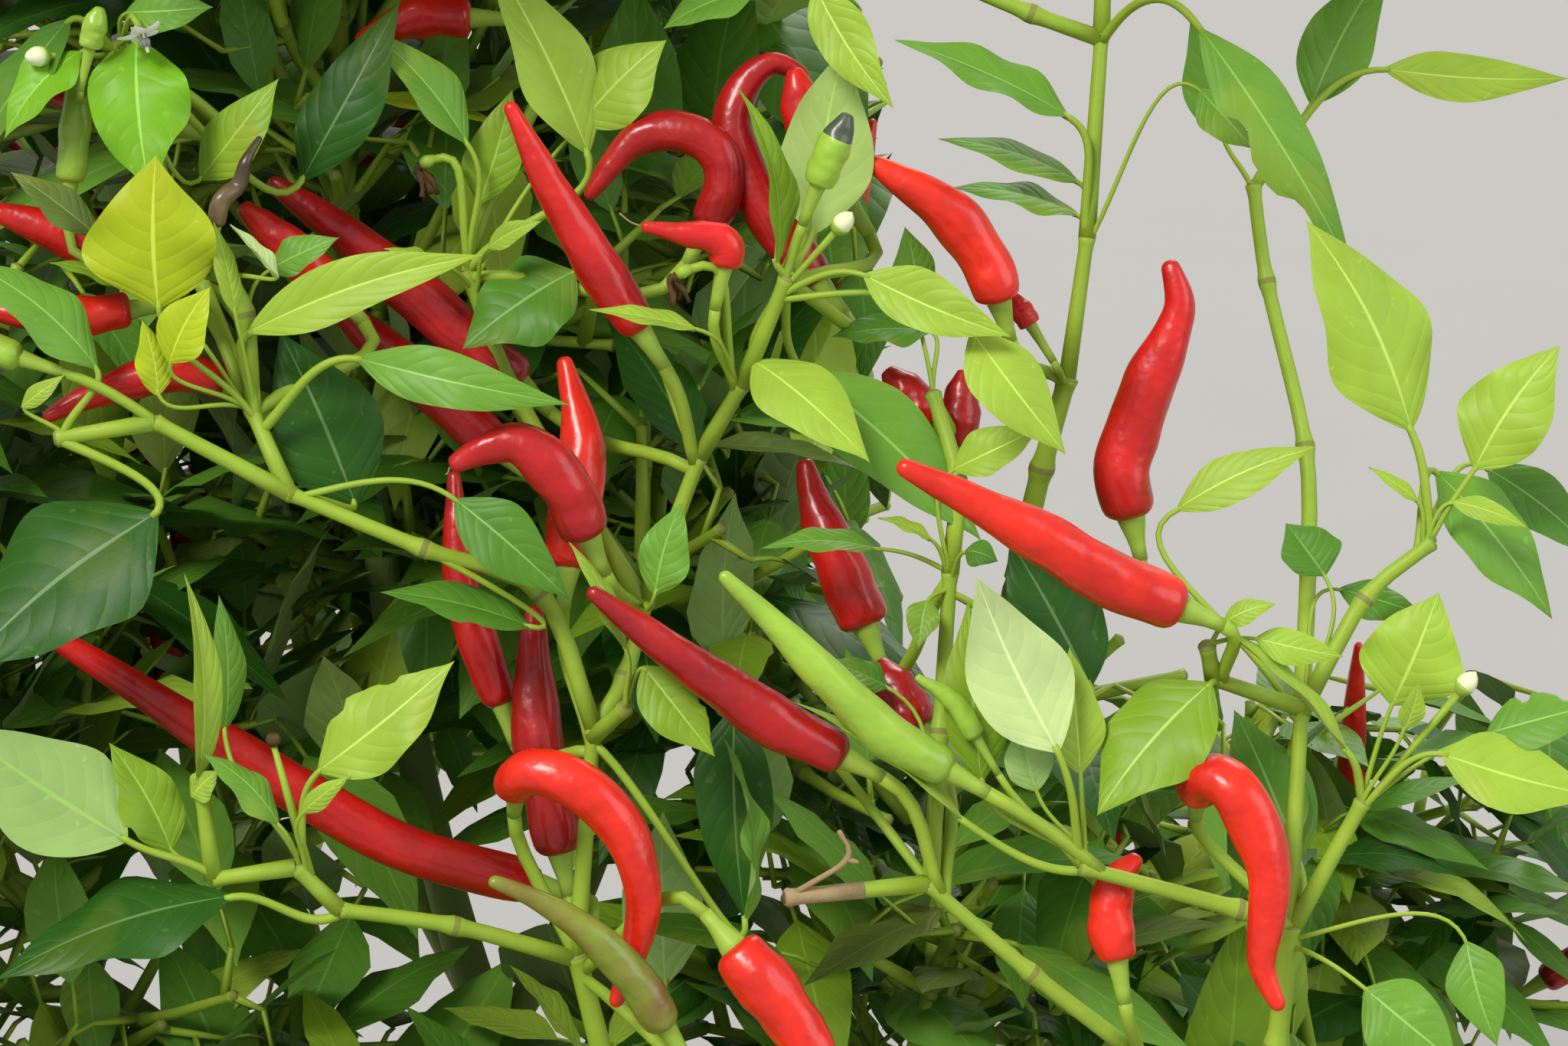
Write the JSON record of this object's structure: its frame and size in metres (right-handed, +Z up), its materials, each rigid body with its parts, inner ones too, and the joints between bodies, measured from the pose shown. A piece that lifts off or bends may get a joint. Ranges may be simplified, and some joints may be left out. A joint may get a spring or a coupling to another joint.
{
  "type": "chilli pepper plant",
  "caption": "Bushy chilli pepper plant with a forked woody stem, pointed green leaves and slim upright red pods.",
  "frame": {"origin": "middle of the flat cut under the main stem, at ground level", "axes": "+Z up along the stem, -Y towards the front of the crown, +X to the right of a viewer who stands in front"},
  "size_m": [0.5001, 0.4473, 0.6506],
  "materials": {
    "bark": "rough, grey-brown below and greener above",
    "foliage": "satin leaf",
    "stem": "smooth green, purple-brown at the nodes",
    "pod": "glossy ripe red, some green",
    "blossom": "soft white"
  },
  "bodies": {
    "root": {"trunk": "bark", "bough_front": "bark", "bough_left": "bark", "bough_right": "bark", "bough_right_front": "bark", "bough_left_front": "bark", "bough_low_front": "bark", "bough_left_top": "bark", "bough_left_low": "bark", "bough_left_back": "bark", "bough_heart": "bark", "bough_upper_right": "bark", "bough_right_back": "bark", "bough_right_side": "bark", "bough_back": "bark", "bough_centre": "bark", "leaves_left_front": "foliage", "leaves_right_front": "foliage", "leaves_upper_right": "foliage", "leaves_left_top": "foliage", "leaves_left_low": "foliage", "leaves_left_back": "foliage", "leaves_heart": "foliage", "leaves_back": "foliage", "leaves_right_back": "foliage", "leaves_right_side": "foliage", "leaves_low_front": "foliage", "leaves_centre": "foliage"}
  },
  "joints": []
}
